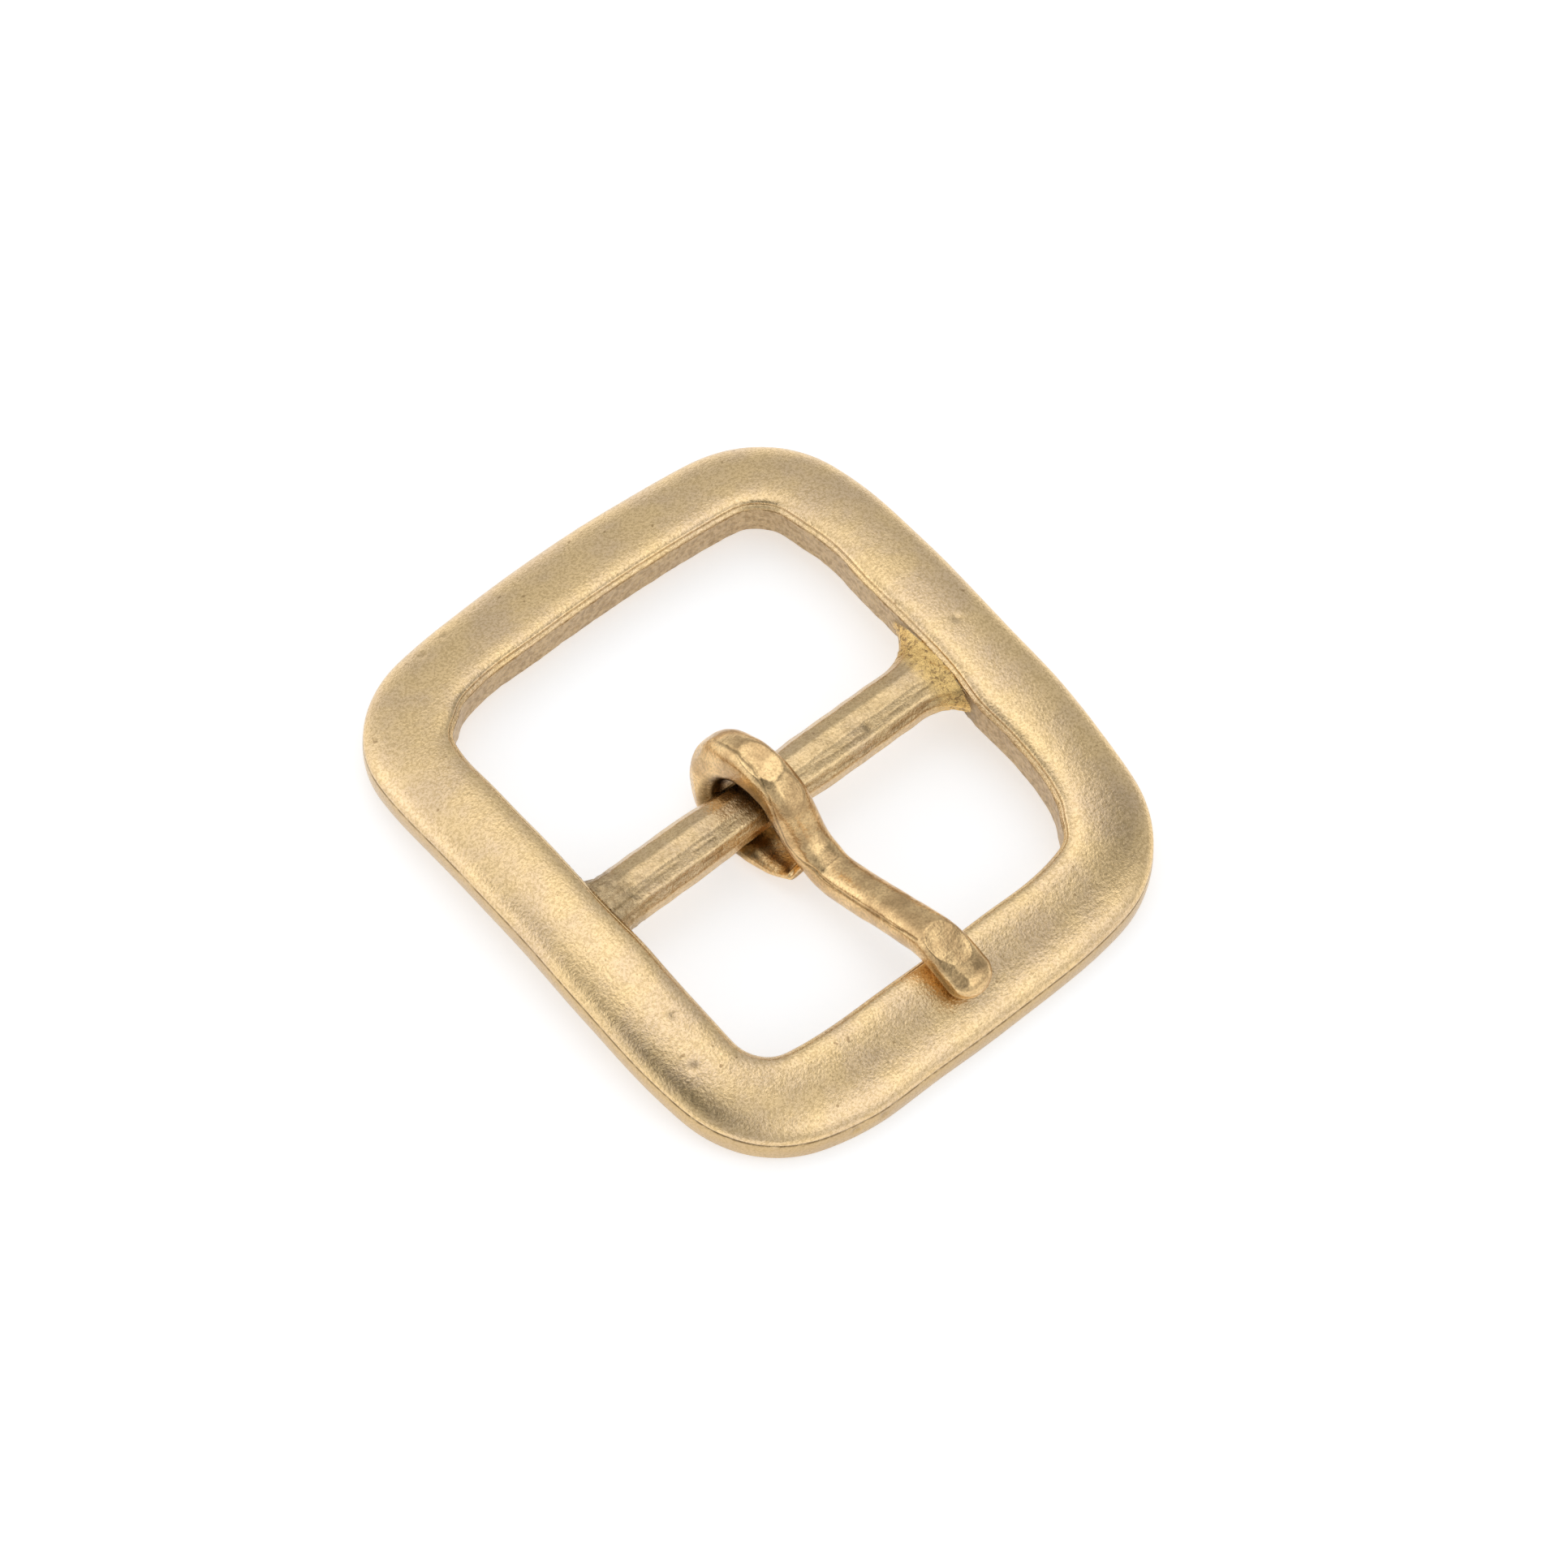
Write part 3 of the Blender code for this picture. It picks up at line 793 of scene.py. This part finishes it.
def calculate(tree, operation, *values):
    """The result of a Math node."""
    made = node(tree, "ShaderNodeMath", operation=operation)
    for socket, value in zip(made.inputs, values):
        feed(tree, socket, value)
    return made.outputs[0]


def painted(tree, name):
    """The value kept on the mesh under that name."""
    return node(tree, "ShaderNodeAttribute", attribute_name=name).outputs["Fac"]


def grain(tree, size, detail=2.0, roughness=0.55, distortion=0.0):
    """Noise from 0 to 1 that is fixed to the object, with features of about that size in millimetres."""
    made = node(tree, "ShaderNodeTexNoise")
    tree.links.new(node(tree, "ShaderNodeTexCoord").outputs["Object"], made.inputs["Vector"])
    for name, value in (("Scale", 1.0 / (size * MM)), ("Detail", detail), ("Roughness", roughness),
                        ("Distortion", distortion)):
        made.inputs[name].default_value = value
    return made.outputs["Fac"]


def ramp(tree, value, low, high, to_low=0.0, to_high=1.0):
    """The value's range from low to high, as a smooth ramp."""
    made = node(tree, "ShaderNodeMapRange", interpolation_type="SMOOTHSTEP")
    for name, amount in (("From Min", low), ("From Max", high), ("To Min", to_low), ("To Max", to_high)):
        made.inputs[name].default_value = amount
    feed(tree, made.inputs["Value"], value)
    return made.outputs["Result"]


def mix_colors(tree, share, first, second):
    """From the first colour to the second as the share goes from 0 to 1."""
    made = node(tree, "ShaderNodeMix", data_type="RGBA")
    feed(tree, made.inputs[MIX_SHARE], share)
    for socket, color in ((made.inputs[MIX_FIRST], first), (made.inputs[MIX_SECOND], second)):
        feed(tree, socket, color if isinstance(color, bpy.types.NodeSocket) else (*color, 1.0))
    return made.outputs[MIX_RESULT]


def tinted(tree, tone, color, share, strength):
    """The tone with a colour laid over it, by a share of the surface times a strength."""
    return mix_colors(tree, calculate(tree, "MULTIPLY", share, strength), tone, color)


def bumps(tree, layers):
    """A chain of bump nodes: each layer is a height from 0 to 1 and its depth in millimetres."""
    normal = None
    for height, depth in layers:
        made = node(tree, "ShaderNodeBump")
        made.inputs["Distance"].default_value = depth * MM
        feed(tree, made.inputs["Height"], height)
        if normal is not None:
            tree.links.new(normal, made.inputs["Normal"])
        normal = made.outputs["Normal"]
    return normal


# Materials.

def cast_color(tree):
    """Gold and tan brass with a fine dark fleck, browner where nothing has rubbed it, with painted shade
    under the prong, in the creases and in the pits.
    """
    patches = ramp(tree, grain(tree, size=5.0, detail=3.0), low=0.35, high=0.68)
    tone = mix_colors(tree, patches, BRASS_GOLD, BRASS_TAN)
    fleck = ramp(tree, grain(tree, size=0.26, roughness=0.6), low=0.44, high=0.60)
    tone = tinted(tree, tone, BRASS_DEEP, fleck, strength=0.5)
    tone = tinted(tree, tone, BRASS_DEEP, painted(tree, "strip"), strength=0.55)
    spots = ramp(tree, grain(tree, size=0.5, detail=4.0, roughness=0.65), low=0.34, high=0.62)
    as_cast = mix_colors(tree, spots, BRASS_BROWN, BRASS_SKIN)
    for name, strength in (("wall", 0.85), ("bar", 0.35), ("rough", 0.6)):
        tone = tinted(tree, tone, as_cast, painted(tree, name), strength)
    torn = grain(tree, size=0.42, detail=3.0, roughness=0.6, distortion=0.8)
    flakes = ramp(tree, torn, low=0.30, high=0.52)
    flaky = mix_colors(tree, flakes, BRASS_RUST, BRASS_YELLOW)
    tone = tinted(tree, tone, flaky, painted(tree, "yellow"), strength=0.9)
    # Painted shade under the hook and the tip, with the brown patch and the tarnished wall, broken up by
    # noise.
    patchy_darkening = ramp(tree, grain(tree, size=0.4, detail=3.0), low=0.2, high=0.6, to_low=0.5)
    tone = tinted(tree, tone, BRASS_UMBER, painted(tree, "shade_and_tarnish"), patchy_darkening)
    # Dark seam and draw lines, and painted shade in the creases and pits, broken up by noise.
    broken = ramp(tree, grain(tree, size=0.8), low=0.25, high=0.6, to_low=0.3, to_high=0.9)
    tone = tinted(tree, tone, BRASS_LINE, painted(tree, "line"), broken)
    pinholes = ramp(tree, grain(tree, size=0.9, detail=1.0), low=0.74, high=0.79)
    return tinted(tree, tone, BRASS_RUST, pinholes, strength=0.6)


def cast_brass():
    """Tumbled cast brass: a fine satin grain, brown as-cast skin in the window, dark seams, and painted shade
    in the creases, in the pits and under the prong.
    """
    made, tree, shader = material("cast_brass")
    wall = painted(tree, "wall")
    shader.inputs["Metallic"].default_value = 1.0
    tree.links.new(cast_color(tree), shader.inputs["Base Color"])
    satin = ramp(tree, grain(tree, size=0.3), low=0.3, high=0.7, to_low=0.18, to_high=0.28)
    duller_wall = 0.12
    tree.links.new(calculate(tree, "MULTIPLY_ADD", wall, duller_wall, satin), shader.inputs["Roughness"])
    dents = grain(tree, size=0.9)
    fine = grain(tree, size=0.24, detail=3.0, roughness=0.6)
    unworked = calculate(tree, "MAXIMUM", wall, painted(tree, "rough"))
    as_cast = calculate(tree, "MULTIPLY", grain(tree, size=0.4, detail=4.0, roughness=0.65), unworked)
    relief = bumps(tree, ((dents, 0.03), (fine, 0.038), (as_cast, 0.12)))
    tree.links.new(relief, shader.inputs["Normal"])
    return made


def worked_color(tree):
    """Warmer brass with brown patches, and painted shade along the crease and inside the hook."""
    patches = ramp(tree, grain(tree, size=2.6, detail=3.0), low=0.38, high=0.64)
    tone = mix_colors(tree, patches, PRONG_GOLD, PRONG_BROWN)
    fleck = ramp(tree, grain(tree, size=0.24), low=0.42, high=0.64)
    tone = tinted(tree, tone, BRASS_RUST, fleck, strength=0.36)
    # Painted shade along the crease, broken up by noise.
    broken = ramp(tree, grain(tree, size=0.8), low=0.3, high=0.6, to_low=0.2, to_high=0.8)
    tone = tinted(tree, tone, BRASS_LINE, painted(tree, "line"), broken)
    # Painted shade inside the hook, broken up by noise.
    patchy_darkening = ramp(tree, grain(tree, size=0.4, detail=3.0), low=0.2, high=0.6, to_low=0.6)
    return tinted(tree, tone, BRASS_LINE, painted(tree, "shade_and_tarnish"), patchy_darkening)


def worked_brass():
    """Hand-worked brass: smoother and browner, with hammered patches."""
    made, tree, shader = material("worked_brass")
    shader.inputs["Metallic"].default_value = 1.0
    tree.links.new(worked_color(tree), shader.inputs["Base Color"])
    polish = ramp(tree, grain(tree, size=0.8, detail=3.0), low=0.3, high=0.7, to_low=0.15, to_high=0.27)
    tree.links.new(polish, shader.inputs["Roughness"])
    dents = grain(tree, size=1.2)
    fine = grain(tree, size=0.25, detail=3.0, roughness=0.6)
    tree.links.new(bumps(tree, ((dents, 0.05), (fine, 0.03))), shader.inputs["Normal"])
    return made


def white_paper():
    """Plain pale paper that glows a little."""
    made, _, shader = material("white_paper")
    shader.inputs["Base Color"].default_value = (*PAPER_WHITE, 1.0)
    shader.inputs["Roughness"].default_value = FLOOR_ROUGHNESS
    shader.inputs["Emission Color"].default_value = (1.0, 1.0, 1.0, 1.0)
    shader.inputs["Emission Strength"].default_value = FLOOR_GLOW
    return made


# The studio.

def studio_floor():
    """A wide flat floor."""
    reach, level = FLOOR_REACH * MM, -FLOOR_DROP * MM
    mesh = bpy.data.meshes.new("floor")
    corners = [(x * reach, y * reach, level) for x, y in ((-1, -1), (1, -1), (1, 1), (-1, 1))]
    mesh.from_pydata(corners, [], [(0, 1, 2, 3)])
    mesh.materials.append(white_paper())
    floor = bpy.data.objects.new("floor", mesh)
    bpy.context.collection.objects.link(floor)
    return floor


def direction(azimuth, elevation):
    """The unit vector at an azimuth from +X and an elevation, both in degrees."""
    azimuth, elevation = math.radians(azimuth), math.radians(elevation)
    level = math.cos(elevation)
    return math.cos(azimuth) * level, math.sin(azimuth) * level, math.sin(elevation)


def studio_light():
    """A world that is brighter towards each soft panel and darker towards each gap."""
    world = bpy.data.worlds.new("studio")
    bpy.context.scene.world = world
    world.use_nodes = True
    tree = world.node_tree
    look = node(tree, "ShaderNodeVectorMath", operation="NORMALIZE")
    tree.links.new(node(tree, "ShaderNodeTexCoord").outputs["Generated"], look.inputs[0])
    total = STUDIO_FILL
    for azimuth, elevation, tightness, strength in STUDIO_PANELS:
        along = node(tree, "ShaderNodeVectorMath", operation="DOT_PRODUCT")
        along.inputs[1].default_value = direction(azimuth, elevation)
        tree.links.new(look.outputs[0], along.inputs[0])
        facing = calculate(tree, "MAXIMUM", along.outputs["Value"], 0.0)
        fall = calculate(tree, "POWER", facing, tightness)
        total = calculate(tree, "MULTIPLY_ADD", fall, strength, total)
    background = tree.nodes["Background"]
    background.inputs["Color"].default_value = (*STUDIO_COLOR, 1.0)
    tree.links.new(calculate(tree, "MAXIMUM", total, 0.0), background.inputs["Strength"])


def camera():
    """The photograph's viewing angle."""
    azimuth = math.radians(CAMERA_AZIMUTH)
    back = Vector(direction(CAMERA_AZIMUTH - 90.0, CAMERA_ELEVATION))
    right = Vector((math.cos(azimuth), math.sin(azimuth), 0.0))
    up = back.cross(right)
    turn = Matrix((right, up, back)).transposed().to_4x4()
    roll = Matrix.Rotation(math.radians(CAMERA_ROLL), 4, "Z")
    place = Vector((*CAMERA_AIM, ARCH_RISE)) + back * CAMERA_DISTANCE
    data = bpy.data.cameras.new("camera")
    data.lens = CAMERA_LENS
    data.clip_start, data.clip_end = (distance * MM for distance in CAMERA_CLIP)
    item = bpy.data.objects.new("camera", data)
    bpy.context.collection.objects.link(item)
    item.matrix_world = Matrix.Translation(place * MM) @ (turn @ roll)
    bpy.context.scene.camera = item


casting = brass_frame()
casting.data.materials.append(cast_brass())
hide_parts("buckle_frame")
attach(casting, "frame")

tongue = brass_prong()
tongue.data.materials.append(worked_brass())
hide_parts("prong")
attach(tongue, "prong")

floor = studio_floor()
studio_light()
camera()
bpy.context.scene.view_settings.view_transform = "Standard"
